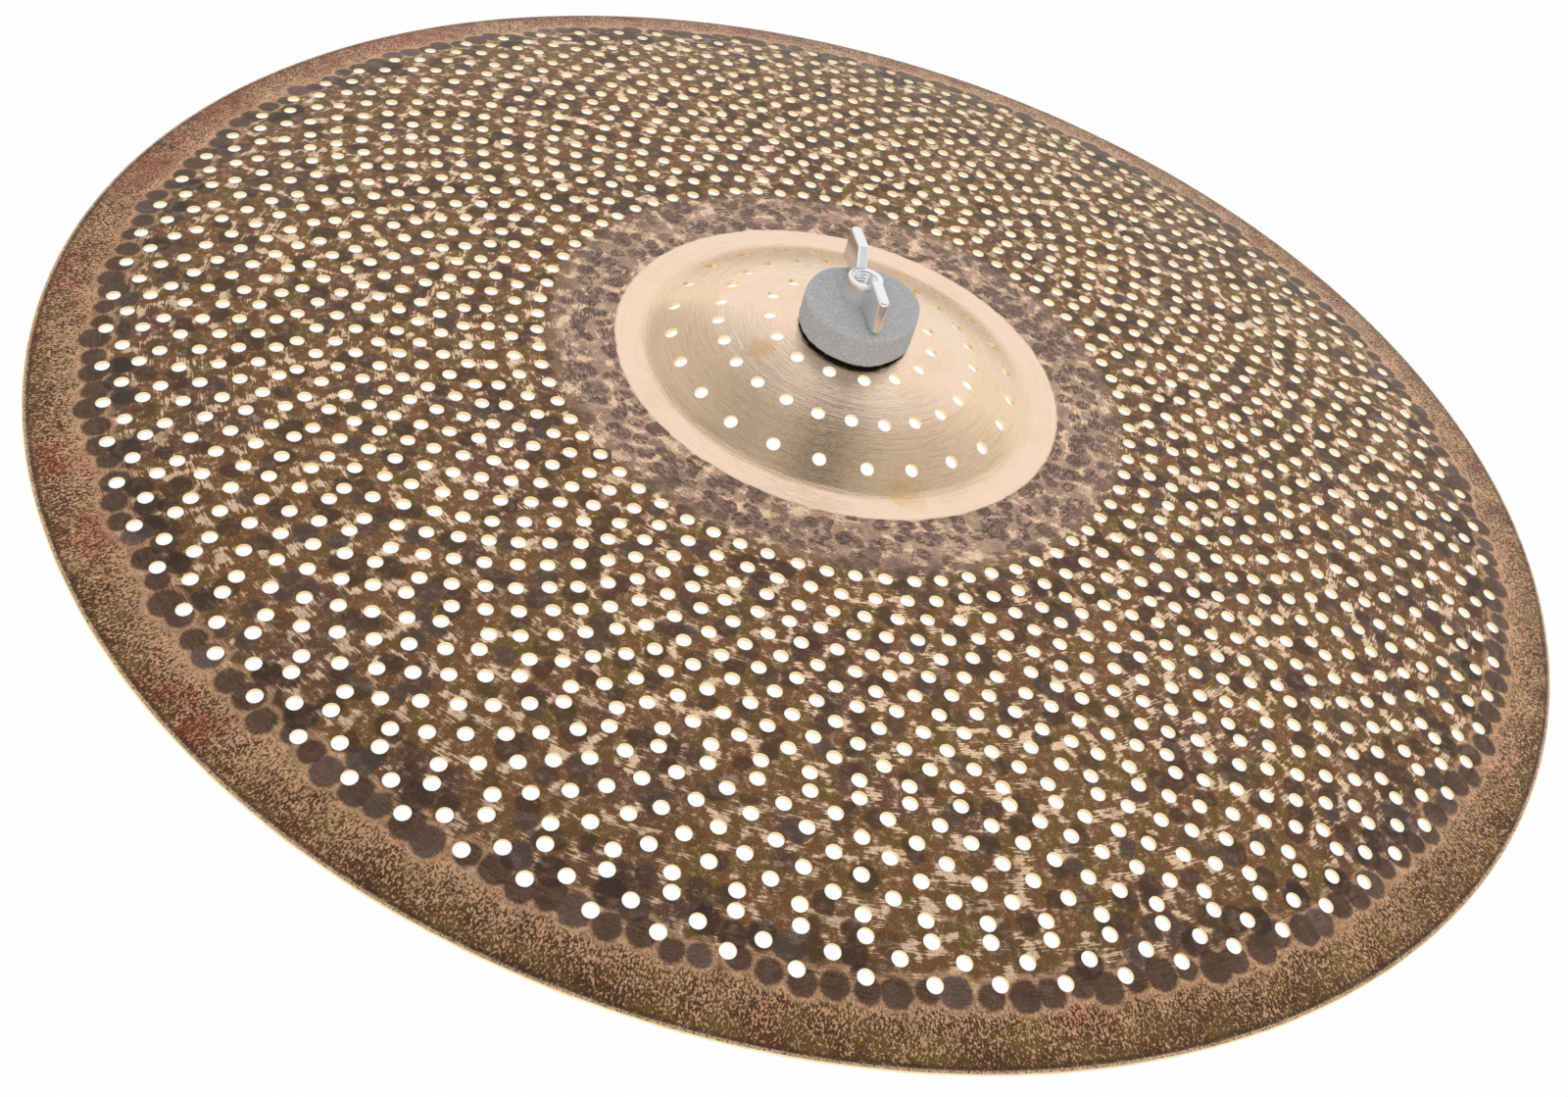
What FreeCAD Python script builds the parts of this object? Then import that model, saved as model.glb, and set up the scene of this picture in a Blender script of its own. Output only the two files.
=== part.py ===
import FreeCAD, Part
import math
import os

# A perforated ride cymbal, with the felts, sleeve, washer and wing nut that
# hold it on a stand's rod. Lengths are in millimetres and angles in degrees.
# Z is the cymbal's axis, pointing up, and the origin is on it, at the crown
# of the bell. X points right and -Y towards the player.

# The plate: a spherical bell, a concave blend and a bow of two tangent arcs
cymbal_diameter = 508.0
bell_height = 18.0
bell_sphere_radius = 130.0
bell_blend_radius = 12.0
bow_height = 14.0
bow_split_radius = 170.0
bow_split_drop = 2.7
plate_thickness = 1.3
edge_thickness = 0.9
mounting_hole_radius = 6.2

# The plate is built of flat facets, so that each hole has straight edges
plate_sectors = 72
arc_facets = (5, 1, 2, 3)

# The perforation. A group is a number of rings, the holes in each ring and
# the angle of the first hole. Every other ring of it is turned half a pitch.
hole_radius = 2.25
hole_sides = 6
cut_overrun = 1.0
bell_ring_radii = (27.7, 43.6, 58.2)
bell_ring_counts = (15, 25, 24)
bell_ring_angles = (1.6, 8.5, 3.0)
bow_first_ring_radius = 101.6
bow_ring_spacing = 5.35
bow_ring_extra_spacing = 2.9
bow_ring_fade_count = 6.0
bow_ring_groups = ((2, 72, -1.5), (1, 76, 0.0), (9, 82, 1.6), (7, 83, 0.7), (3, 84, -0.1))

# The real bow has 22 rings and about 1,780 holes. The solid keeps one hole
# in five, in every third ring, because all of them would swamp the model.
bow_ring_step = 3
bow_hole_step = 5

# The felts, cut from flat sheet
upper_felt_radius = 19.0
upper_felt_height = 9.4
upper_felt_chamfer = 1.5
lower_felt_radius = 13.0
lower_felt_height = 7.0
felt_clearance = 0.3

# The nylon sleeve round the rod
sleeve_bore_radius = 4.15
sleeve_radius = 5.0
sleeve_flange_radius = 9.0
sleeve_flange_height = 2.0
sleeve_top_gap = 2.0

# The cup washer under the lower felt
washer_thickness = 1.2
washer_lip_height = 3.4
washer_sleeve_clearance = 0.2

# The wing nut, for an M8 rod. Its heights are from its own underside.
nut_thread_radius = 3.32
nut_base_radius = 7.2
nut_base_height = 0.6
nut_neck_radius = 5.8
nut_neck_height = 5.5
nut_hub_height = 8.0
nut_seat_clearance = 0.15
wing_angle = -67.0
wing_thickness = 3.2
wing_half_span = 21.8
wing_shoulder_radius = 9.4
wing_height = 13.6
wing_foot_height = 2.2
wing_root_height = 1.0
wing_corner_radius = 1.2
wing_chamfer = 0.5

full_turn = 360.0
half_turn = 180.0
origin = FreeCAD.Vector(0, 0, 0)
up = FreeCAD.Vector(0, 0, 1)
outward = FreeCAD.Vector(1, 0, 0)
sideways = FreeCAD.Vector(0, 1, 0)

rim_radius = cymbal_diameter / 2
bell_inside_radius = bell_sphere_radius - plate_thickness
bell_seat_height = math.sqrt(bell_inside_radius ** 2 - lower_felt_radius ** 2) - bell_sphere_radius
lower_felt_top = bell_seat_height - felt_clearance
lower_felt_bottom = lower_felt_top - lower_felt_height
washer_top = lower_felt_bottom - felt_clearance
washer_bottom = washer_top - washer_thickness
felt_bore_radius = sleeve_radius + felt_clearance


def point(radius, height):
    """A point of an outline, in the XZ plane."""
    return FreeCAD.Vector(radius, 0, height)


def revolve(points):
    """A solid of revolution about Z, its outline straight between the points."""
    return Part.Face(Part.makePolygon(points + points[:1])).revolve(origin, up, full_turn)


# The plate's outline

bell_centre = point(0, -bell_sphere_radius)
bell_to_blend = bell_sphere_radius + bell_blend_radius
blend_centre_height = bell_blend_radius - bell_height
bow_start_radius = math.sqrt(bell_to_blend ** 2 - (bell_sphere_radius + blend_centre_height) ** 2)
blend_centre = point(bow_start_radius, blend_centre_height)


def arc_centre(start, direction, end):
    """Centre of the arc that leaves start along direction and reaches end."""
    normal = FreeCAD.Vector(-direction.z, 0, direction.x)
    chord = end - start
    return start + normal * (chord.dot(chord) / (2 * chord.dot(normal)))


def plate_arcs(depth, rim_depth):
    """The start, end and centre of each arc of one face of the plate.

    They run from the mounting hole to the rim. The face lies depth below
    the top face, and rim_depth below it at the rim.
    """
    sphere_radius = bell_sphere_radius - depth
    crown_height = math.sqrt(sphere_radius ** 2 - mounting_hole_radius ** 2)
    hole = bell_centre + point(mounting_hole_radius, crown_height)
    foot = bell_centre + (blend_centre - bell_centre) * (sphere_radius / bell_to_blend)
    bow_start = point(bow_start_radius, -bell_height - depth)
    split = point(bow_split_radius, -bell_height - bow_split_drop - depth)
    rim = point(rim_radius, -bell_height - bow_height - rim_depth)
    inner_centre = arc_centre(bow_start, outward, split)
    spoke = split - inner_centre
    outer_centre = arc_centre(split, FreeCAD.Vector(spoke.z, 0, -spoke.x).normalize(), rim)
    return [
        (hole, foot, bell_centre),
        (foot, bow_start, blend_centre),
        (bow_start, split, inner_centre),
        (split, rim, outer_centre),
    ]


def face_points(arcs):
    """Points along the arcs of one face, each arc cut into its facets."""
    points = [arcs[0][0]]
    for (start, end, centre), facets in zip(arcs, arc_facets):
        for i in range(1, facets + 1):
            spoke = start + (end - start) * (i / facets) - centre
            spoke.normalize()
            points.append(centre + spoke * (start - centre).Length)
    return points


def surface_at(radius):
    """The point on the plate's top face at this radius, and its normal."""
    for start, end, centre in plate_arcs(0, 0):
        if radius <= end.x:
            break
    arc_radius = (start - centre).Length
    side = 1 if start.z > centre.z else -1
    rise = math.sqrt(arc_radius ** 2 - (radius - centre.x) ** 2)
    place = point(radius, centre.z + side * rise)
    return place, ((place - centre) * side).normalize()


# The perforation

def hole_prism(radius):
    """A prism of a round hole's area, square to the plate at this radius."""
    side_angle = math.radians(full_turn / hole_sides)
    corner_radius = hole_radius * math.sqrt(side_angle / math.sin(side_angle))
    corners = []
    for i in range(hole_sides + 1):
        angle = i * side_angle
        corners.append(FreeCAD.Vector(math.cos(angle), math.sin(angle), 0) * corner_radius)
    depth = plate_thickness + cut_overrun
    prism = Part.Face(Part.makePolygon(corners)).extrude(up * (depth + cut_overrun))
    place, normal = surface_at(radius)
    prism.Placement = FreeCAD.Placement(place - normal * depth, FreeCAD.Rotation(up, normal))
    return prism


def ring_prisms(radius, count, start_angle, step):
    """The prisms of one ring, one place in every step."""
    first = hole_prism(radius)
    prisms = []
    for i in range(0, count, step):
        prism = first.copy()
        prism.rotate(origin, up, start_angle + i * full_turn / count)
        prisms.append(prism)
    return prisms


def bow_rings():
    """Radius, hole count and first angle of every ring of the bow."""
    rings = []
    radius = bow_first_ring_radius
    for ring_count, hole_count, start_angle in bow_ring_groups:
        for i in range(ring_count):
            turn = (i % 2) * full_turn / hole_count / 2
            rings.append((radius, hole_count, start_angle + turn))
            fade = math.exp((1 - len(rings)) / bow_ring_fade_count)
            radius += bow_ring_spacing + bow_ring_extra_spacing * fade
    return rings


def make_cymbal():
    top = face_points(plate_arcs(0, 0))
    bottom = face_points(plate_arcs(plate_thickness, edge_thickness))
    turns = [FreeCAD.Rotation(up, i * full_turn / plate_sectors) for i in range(plate_sectors)]
    loops = [[turn.multVec(place) for turn in turns] for place in top + bottom[::-1]]
    facets = []
    for loop, next_loop in zip(loops, loops[1:] + loops[:1]):
        for i in range(plate_sectors):
            corners = [loop[i - 1], loop[i], next_loop[i], next_loop[i - 1], loop[i - 1]]
            facets.append(Part.Face(Part.makePolygon(corners)))
    plate = Part.Solid(Part.Shell(facets))
    prisms = []
    for radius, count, start_angle in zip(bell_ring_radii, bell_ring_counts, bell_ring_angles):
        prisms += ring_prisms(radius, count, start_angle, 1)
    for radius, count, start_angle in bow_rings()[::bow_ring_step]:
        prisms += ring_prisms(radius, count, start_angle, bow_hole_step)
    return plate.cut(prisms)


# The felts, above and below the bell

def make_upper_felt():
    """The felt under the nut. Its lower face rests on the crown of the bell."""
    return revolve([
        point(felt_bore_radius, felt_clearance),
        point(upper_felt_radius, felt_clearance),
        point(upper_felt_radius, upper_felt_height - upper_felt_chamfer),
        point(upper_felt_radius - upper_felt_chamfer, upper_felt_height),
        point(felt_bore_radius, upper_felt_height),
    ])


def make_lower_felt():
    """The felt in the cup washer. The bell's inside rests on its outer edge."""
    return revolve([
        point(felt_bore_radius, lower_felt_bottom),
        point(lower_felt_radius, lower_felt_bottom),
        point(lower_felt_radius, lower_felt_top),
        point(felt_bore_radius, lower_felt_top),
    ])


# The sleeve and the cup washer

def make_sleeve():
    flange_bottom = washer_bottom - sleeve_flange_height
    sleeve_top = upper_felt_height - sleeve_top_gap
    return revolve([
        point(sleeve_bore_radius, flange_bottom),
        point(sleeve_flange_radius, flange_bottom),
        point(sleeve_flange_radius, washer_bottom),
        point(sleeve_radius, washer_bottom),
        point(sleeve_radius, sleeve_top),
        point(sleeve_bore_radius, sleeve_top),
    ])


def make_cup_washer():
    hole = sleeve_radius + washer_sleeve_clearance
    lip_inside = lower_felt_radius + felt_clearance
    lip_outside = lip_inside + washer_thickness
    lip_top = washer_bottom + washer_lip_height
    return revolve([
        point(hole, washer_bottom),
        point(lip_outside, washer_bottom),
        point(lip_outside, lip_top),
        point(lip_inside, lip_top),
        point(lip_inside, washer_top),
        point(hole, washer_top),
    ])


# The wing nut

def make_nut_hub():
    return revolve([
        point(nut_thread_radius, 0),
        point(nut_base_radius, 0),
        point(nut_base_radius, nut_base_height),
        point(nut_neck_radius, nut_neck_height),
        point(nut_neck_radius, nut_hub_height),
        point(nut_thread_radius, nut_hub_height),
    ])


def make_wing():
    """One wing: a flat plate with rounded tips, rooted in the hub's wall."""
    root_radius = (nut_thread_radius + nut_neck_radius) / 2
    corners = [
        point(root_radius, wing_root_height),
        point(root_radius, nut_hub_height),
        point(nut_neck_radius, nut_hub_height),
        point(wing_shoulder_radius, wing_height),
        point(wing_half_span, wing_height),
        point(wing_half_span, wing_foot_height),
        point(nut_base_radius, wing_root_height),
    ]
    wing = Part.Face(Part.makePolygon(corners + corners[:1])).extrude(sideways * wing_thickness)
    wing.translate(sideways * (-wing_thickness / 2))
    tips = []
    for edge in wing.Edges:
        middle = edge.CenterOfMass
        if abs(middle.y) < wing_chamfer and middle.x > wing_shoulder_radius + wing_chamfer:
            tips.append(edge)
    wing = wing.makeFillet(wing_corner_radius, tips)
    borders = [edge for edge in wing.Edges if abs(edge.CenterOfMass.y) > wing_chamfer]
    return wing.makeChamfer(wing_chamfer, borders)


def make_wing_nut():
    wing = make_wing()
    opposite = wing.copy()
    opposite.rotate(origin, up, half_turn)
    nut = make_nut_hub().fuse([wing, opposite]).removeSplitter()
    nut.rotate(origin, up, wing_angle)
    nut.translate(up * (upper_felt_height + nut_seat_clearance))
    return nut


makers = {
    "cymbal": make_cymbal,
    "upper_felt": make_upper_felt,
    "lower_felt": make_lower_felt,
    "sleeve": make_sleeve,
    "cup_washer": make_cup_washer,
    "wing_nut": make_wing_nut,
}

os.makedirs("parts", exist_ok=True)
for name, make in makers.items():
    shape = make()
    shape.exportStep(f"parts/{name}.step")
    print(name, "solids", len(shape.Solids), "valid", shape.isValid(), "volume", round(shape.Volume, 1))
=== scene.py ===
import math
import random

import bpy
from mathutils import Matrix, Vector, noise


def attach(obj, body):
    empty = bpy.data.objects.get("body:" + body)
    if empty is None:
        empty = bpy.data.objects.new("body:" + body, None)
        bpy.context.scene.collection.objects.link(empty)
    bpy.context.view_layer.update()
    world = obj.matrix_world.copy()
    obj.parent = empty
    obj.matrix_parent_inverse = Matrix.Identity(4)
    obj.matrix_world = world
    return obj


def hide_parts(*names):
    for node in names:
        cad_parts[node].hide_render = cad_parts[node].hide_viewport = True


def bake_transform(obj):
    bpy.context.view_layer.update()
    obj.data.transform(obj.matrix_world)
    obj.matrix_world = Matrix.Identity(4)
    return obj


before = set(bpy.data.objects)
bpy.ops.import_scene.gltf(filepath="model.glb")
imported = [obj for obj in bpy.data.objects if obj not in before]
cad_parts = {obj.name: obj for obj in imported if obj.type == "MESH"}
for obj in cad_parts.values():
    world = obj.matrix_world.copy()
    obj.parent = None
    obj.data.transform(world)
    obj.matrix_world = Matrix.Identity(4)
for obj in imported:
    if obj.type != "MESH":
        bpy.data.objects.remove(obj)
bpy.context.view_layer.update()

mm = 0.001
fullTurn = 2 * math.pi
print("frame loaded:", len(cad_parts), "nodes")


# Small helpers for meshes and nodes

def newPiece(name, verts, faces, materials, faceSlots=None):
    mesh = bpy.data.meshes.new(name)
    mesh.from_pydata([tuple(v) for v in verts], [], faces)
    for material in materials:
        mesh.materials.append(material)
    if faceSlots:
        mesh.polygons.foreach_set("material_index", faceSlots)
    mesh.update()
    piece = bpy.data.objects.new(name, mesh)
    bpy.context.scene.collection.objects.link(piece)
    return piece


def loopFaces(loopCount, sectorCount, closed=True):  # quads between neighbouring loops of points
    faces = []
    for loop in range(loopCount if closed else loopCount - 1):
        inner = loop * sectorCount
        outer = (loop + 1) % loopCount * sectorCount
        for sector in range(sectorCount):
            after = (sector + 1) % sectorCount
            faces.append((inner + sector, outer + sector, outer + after, inner + after))
    return faces


def spinPoints(outline, sectorCount):  # outline of (radius, height) turned about Z, loop by loop
    verts = []
    for radius, height in outline:
        for sector in range(sectorCount):
            angle = sector / sectorCount * fullTurn
            verts.append(Vector((radius * math.cos(angle), radius * math.sin(angle), height)) * mm)
    return verts


def bakeModifiers(piece):  # the piece keeps the mesh that its modifiers give
    graph = bpy.context.evaluated_depsgraph_get()
    graph.update()
    mesh = bpy.data.meshes.new_from_object(piece.evaluated_get(graph))
    piece.modifiers.clear()
    old = piece.data
    piece.data = mesh
    bpy.data.meshes.remove(old)
    mesh.name = piece.name


def joinShape(piece, other, operation):  # boolean with another object, which is then removed
    modifier = piece.modifiers.new(operation.lower(), "BOOLEAN")
    modifier.operation = operation
    modifier.solver = "MANIFOLD"
    modifier.object = other
    bakeModifiers(piece)
    bpy.data.objects.remove(other)


def smoothPiece(piece, sharpAngle):
    piece.data.shade_smooth()
    piece.data.set_sharp_from_angle(angle=math.radians(sharpAngle))


def plug(tree, socket, value):  # a link from another socket, or a plain value
    if isinstance(value, bpy.types.NodeSocket):
        tree.links.new(value, socket)
    else:
        socket.default_value = value


def addNode(tree, kind, inputs=None, **settings):
    made = tree.nodes.new("ShaderNode" + kind)
    for name, value in settings.items():
        setattr(made, name, value)
    for name, value in (inputs or {}).items():
        plug(tree, made.inputs[name], value)
    return made


def calc(tree, operation, *values):  # one Math node
    made = addNode(tree, "Math", operation=operation)
    for socket, value in zip(made.inputs, values):
        plug(tree, socket, value)
    return made.outputs[0]


def times(tree, first, second):
    return calc(tree, "MULTIPLY", first, second)


def plus(tree, first, second):
    return calc(tree, "ADD", first, second)


def minus(tree, first, second):
    return calc(tree, "SUBTRACT", first, second)


def fit(tree, value, scale, shift):  # value * scale + shift
    return calc(tree, "MULTIPLY_ADD", value, scale, shift)


def centred(tree, value, width):  # a value between 0 and 1, spread evenly round zero
    return fit(tree, value, width, -width / 2)


def ramp(tree, value, low, high):  # 0 at low and 1 at high, smooth between them
    made = addNode(tree, "MapRange", {"Value": value, "From Min": low, "From Max": high},
                   interpolation_type="SMOOTHSTEP")
    return made.outputs["Result"]


def nearTo(tree, value, middle, outer, inner):  # 1 closer than inner to the middle, 0 further than outer
    return ramp(tree, calc(tree, "ABSOLUTE", minus(tree, value, middle)), outer, inner)


def vectorCalc(tree, operation, first, second=(0, 0, 0)):  # one Vector Math node
    made = addNode(tree, "VectorMath", {0: first, 1: second}, operation=operation)
    return made.outputs["Value" if operation in ("LENGTH", "DISTANCE", "DOT_PRODUCT") else "Vector"]


def scaled(tree, vector, amount):
    return addNode(tree, "VectorMath", {0: vector, "Scale": amount}, operation="SCALE").outputs[0]


def axes(tree, vector):  # X, Y and Z of a vector
    return addNode(tree, "SeparateXYZ", {0: vector}).outputs


def mixColour(tree, mask, first, second, share=None):  # second over first where the mask is 1
    if share is not None:
        mask = times(tree, mask, share)
    made = addNode(tree, "Mix", data_type="RGBA")
    for number, value in ((0, mask), (6, first), (7, second)):
        plug(tree, made.inputs[number], (*value, 1) if isinstance(value, tuple) else value)
    return made.outputs[2]


def noiseAt(tree, vector, scale, detail=3.0, roughness=0.55):
    return addNode(tree, "TexNoise", {"Vector": vector, "Scale": scale, "Detail": detail,
                                      "Roughness": roughness}).outputs[0]


def newGroup(name, inputs, outputs):
    tree = bpy.data.node_groups.new(name, "ShaderNodeTree")
    for label, value in inputs:
        socket = tree.interface.new_socket(label, in_out="INPUT", socket_type="NodeSocketFloat")
        socket.default_value = value
    for label, kind in outputs:
        tree.interface.new_socket(label, in_out="OUTPUT", socket_type="NodeSocket" + kind)
    return tree, tree.nodes.new("NodeGroupInput").outputs, tree.nodes.new("NodeGroupOutput").inputs


def useGroup(tree, group, inputs=None):
    return addNode(tree, "Group", inputs, node_tree=group).outputs


def newMaterial(name, **values):  # a Principled material with its plain values set
    material = bpy.data.materials.new(name)
    material.use_nodes = True
    tree = material.node_tree
    shader = tree.nodes["Principled BSDF"]
    for label, value in values.items():
        shader.inputs[label.replace("_", " ")].default_value = value
    return material, tree, shader


def feed(tree, shader, **sockets):
    for label, socket in sockets.items():
        tree.links.new(socket, shader.inputs[label.replace("_", " ")])


def bumpFrom(tree, height, distance, normal=None):
    inputs = {"Height": height, "Distance": distance, "Strength": 1.0}
    if normal is not None:
        inputs["Normal"] = normal
    return addNode(tree, "Bump", inputs).outputs[0]


# Effects that more than one finish uses

def polarGroup():  # position in millimetres, with the radius and the direction from the axis
    tree, _, out = newGroup("polarPlace", [],
                            [("Place", "Vector"), ("Radius", "Float"), ("Direction", "Vector")])
    place = scaled(tree, addNode(tree, "TexCoord").outputs["Object"], 1 / mm)
    flat = vectorCalc(tree, "MULTIPLY", place, (1, 1, 0))
    tree.links.new(flat, out["Place"])
    tree.links.new(vectorCalc(tree, "LENGTH", flat), out["Radius"])
    tree.links.new(vectorCalc(tree, "NORMALIZE", flat), out["Direction"])
    return tree


def stretched(tree, polar, across, around):  # a place with its own scale along and round the radius
    parts = axes(tree, scaled(tree, polar["Direction"], around))
    outward = times(tree, polar["Radius"], across)
    return addNode(tree, "CombineXYZ", {"X": outward, "Y": parts["X"], "Z": parts["Y"]}).outputs[0]


def latheGroup():  # fine streaks that run round the axis
    tree, given, out = newGroup("latheLines", [("Lines per mm", 2.0), ("Streak", 6.0)],
                                [("Value", "Float")])
    spun = stretched(tree, useGroup(tree, groups["polar"]), given["Lines per mm"], given["Streak"])
    tree.links.new(noiseAt(tree, spun, 1.0, 4.0, 0.65), out["Value"])
    return tree


def markGroup():  # round hammer marks, scattered, each with a strength and a tone of its own
    tree, given, out = newGroup("hammerMarks",
                                [("Size", 8.0), ("Fill", 0.4), ("Shift", 0.0), ("Faint", 0.3)],
                                [("Mark", "Float"), ("Tone", "Float"), ("Dent", "Float")])
    place = useGroup(tree, groups["polar"])["Place"]
    wobble = centred(tree, noiseAt(tree, place, 0.4), 0.2)
    moved = vectorCalc(tree, "ADD", place, given["Shift"])
    scale = calc(tree, "DIVIDE", 1.0, given["Size"])
    cells = addNode(tree, "TexVoronoi", {"Vector": moved, "Scale": scale, "Randomness": 0.9},
                    voronoi_dimensions="2D").outputs
    dice = addNode(tree, "SeparateColor", {0: cells["Color"]}).outputs
    fill = times(tree, given["Fill"], fit(tree, dice[2], 0.3, 0.8))    # every mark has its own size
    spread = plus(tree, cells["Distance"], wobble)
    inside = ramp(tree, spread, plus(tree, fill, 0.03), minus(tree, fill, 0.1))
    strength = ramp(tree, dice[0], given["Faint"], plus(tree, given["Faint"], 0.4))
    tree.links.new(times(tree, inside, strength), out["Mark"])
    tree.links.new(dice[1], out["Tone"])
    tree.links.new(ramp(tree, cells["Distance"], 0.0, given["Fill"]), out["Dent"])
    return tree


def chainGroup():  # a ring of round marks, some left out, with the bare border round them
    tree, given, out = newGroup("markChain", [("Radius", 235.0), ("Count", 190.0), ("Turn", 0.0),
                                              ("Size", 4.0), ("Gaps", 0.0)],
                                [("Mark", "Float"), ("Border", "Float"), ("Tone", "Float")])
    sizeSpread, alongSpread, acrossSpread, outOfReach = 0.4, 2.4, 3.2, 9.0
    polar = useGroup(tree, groups["polar"])
    parts = axes(tree, polar["Direction"])
    share = times(tree, calc(tree, "ARCTAN2", parts["Y"], parts["X"]), 1 / fullTurn)
    place = fit(tree, share, given["Count"], given["Turn"])
    pitch = calc(tree, "DIVIDE", times(tree, given["Radius"], fullTurn), given["Count"])
    outward = minus(tree, polar["Radius"], given["Radius"])
    rough = centred(tree, noiseAt(tree, polar["Place"], 0.4), 1.6)
    reach, tone = None, None
    for neighbour in (-0.5, 0.5):
        cell = calc(tree, "FLOOR", plus(tree, place, neighbour))
        seed = plus(tree, calc(tree, "WRAP", cell, given["Count"], 0.0), given["Radius"])
        throws = addNode(tree, "TexWhiteNoise", {"W": seed}, noise_dimensions="1D").outputs["Color"]
        throws = addNode(tree, "SeparateColor", {0: throws}).outputs
        sideways = minus(tree, minus(tree, place, cell), 0.5)
        along = fit(tree, sideways, pitch, centred(tree, throws[1], alongSpread))
        across = minus(tree, outward, centred(tree, throws[0], acrossSpread))
        square = plus(tree, times(tree, along, along), times(tree, across, across))
        size = times(tree, given["Size"], fit(tree, throws[2], sizeSpread, 1 - sizeSpread / 2))
        present = calc(tree, "GREATER_THAN", throws[2], given["Gaps"])
        size = fit(tree, plus(tree, size, outOfReach), present, -outOfReach)
        depth = minus(tree, size, plus(tree, calc(tree, "SQRT", square), rough))
        if reach is None:
            reach, tone = depth, throws[1]
        else:
            nearer = calc(tree, "GREATER_THAN", depth, reach)
            tone = fit(tree, minus(tree, throws[1], tone), nearer, tone)
            reach = calc(tree, "MAXIMUM", reach, depth)
    tree.links.new(ramp(tree, reach, -0.5, 0.7), out["Mark"])
    tree.links.new(ramp(tree, reach, -2.2, -0.5), out["Border"])
    tree.links.new(tone, out["Tone"])
    return tree


groups = {}
groups["polar"] = polarGroup()
groups["lathe"] = latheGroup()
groups["marks"] = markGroup()
groups["chain"] = chainGroup()
print("shared effects built")


# The bow's finish: heated patina, dark hammer marks and lathed high spots

bowFinish = {
    "brown": (0.212, 0.103, 0.043),
    "olive": (0.182, 0.112, 0.036),
    "purple": (0.150, 0.078, 0.055),
    "red": (0.220, 0.050, 0.028),
    "markDark": (0.082, 0.049, 0.036),
    "chainDark": (0.066, 0.041, 0.031),
    "markGrey": (0.114, 0.085, 0.078),
    "rawMetal": (0.770, 0.540, 0.365),
    "innerSkin": (0.520, 0.350, 0.262),
    "innerMark": (0.105, 0.064, 0.055),
    "rimDark": (0.120, 0.058, 0.028),
    "rimLight": (0.640, 0.380, 0.225),
    "bellGold": (0.896, 0.686, 0.515),

    "purpleShare": 0.75,  # how much of each colour covers what is under it
    "wornShare": 0.55,
    "bareShare": 0.92,
    "innerShare": 0.8,
    "crackleShare": 0.4,
    "markShare": 0.66,
    "chainShare": 0.84,
    "borderShare": 0.7,
    "redShare": 0.8,
    "lineShare": 0.6,
    "lipShare": 0.8,

    "bellEdge": 75.6,     # radius of the bare bell, in mm
    "innerZone": 97.0,    # the small marks end here
    "zoneBlend": 5.0,
    "rimZone": 236.5,
    "edgeLine": 252.4,
    "chainRadius": 234.2,
    "chainCount": 184.0,
    "chainRows": ((-7.0, 0.37, 3.8, 0.55), (0.0, 0.0, 4.1, 0.0)),    # shift, turn, size, share left out

    "markLayers": ((9.6, 0.41, 0.0, 0.4), (10.6, 0.37, 37.0, 0.5), (12.4, 0.31, 71.0, 0.5)),
    "innerLayers": ((6.0, 0.54, 11.0, 0.0), (7.4, 0.42, 23.0, 0.25)),    # size, fill, shift, faint

    "lines": {"Lines per mm": 2.0, "Streak": 26.0},
    "scratches": {"Lines per mm": 1.9, "Streak": 34.0},
    "strokes": (1.15, 400.0),      # scale of the rim's strokes, along and round the radius
    "grain": (1.6, 3.0, 0.8),      # this and the next six: scale per mm, detail and roughness of a noise
    "mottle": (0.34, 4.0, 0.65),
    "cloud": (0.03, 4.0, 0.6),
    "tint": (0.09, 3.0, 0.6),
    "patches": (0.17, 2.0, 0.55),
    "crackle": (0.8, 2.0, 0.6),
    "broken": (0.75, 3.0, 0.75),

    "bareLevel": 0.572,   # higher leaves fewer bare patches
    "redSide": (-0.9, 0.45, 0),    # the rim is redder this way
    "darkSide": (0.5, -0.87, 0),   # and darker this way
    "dentDepth": 0.08,
    "grainDepth": 0.05,
}


def markLayer(tree, layer):
    return useGroup(tree, groups["marks"], dict(zip(("Size", "Fill", "Shift", "Faint"), layer)))


def rimColour(tree, polar, mottle, tint, cloud, grain):  # light strokes on dark skin, and a bare lip
    f = bowFinish
    radius = polar["Radius"]
    strokes = noiseAt(tree, stretched(tree, polar, *f["strokes"]), 1.0, 2.0, 0.65)
    fade = times(tree, minus(tree, radius, f["rimZone"]), 0.0075)
    strokes = minus(tree, strokes, calc(tree, "MINIMUM", fade, 0.11))
    uneven = plus(tree, mottle, noiseAt(tree, polar["Place"], 0.07, 2.0))
    strokes = plus(tree, strokes, fit(tree, uneven, 0.16, -0.12))
    dark = minus(tree, vectorCalc(tree, "DOT_PRODUCT", polar["Direction"], f["darkSide"]), 0.55)
    strokes = fit(tree, calc(tree, "MAXIMUM", dark, 0.0), -0.08, strokes)
    side = vectorCalc(tree, "DOT_PRODUCT", polar["Direction"], f["redSide"])
    redness = fit(tree, side, 0.09, cloud)
    skin = mixColour(tree, ramp(tree, tint, 0.42, 0.62), f["rimDark"], f["olive"])
    skin = mixColour(tree, ramp(tree, redness, 0.52, 0.64), skin, f["red"], f["redShare"])
    light = mixColour(tree, ramp(tree, redness, 0.54, 0.7), f["rimLight"], f["red"], f["redShare"] / 2)
    skin = mixColour(tree, ramp(tree, strokes, 0.455, 0.52), skin, light)
    line = nearTo(tree, radius, f["edgeLine"], 0.9, 0.2)
    skin = mixColour(tree, line, skin, f["markDark"], f["lineShare"])
    lip = ramp(tree, radius, f["edgeLine"] + 0.3, f["edgeLine"] + 0.9)
    lip = times(tree, lip, ramp(tree, grain, 0.1, 0.5))
    return mixColour(tree, lip, skin, f["rawMetal"], f["lipShare"])


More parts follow.
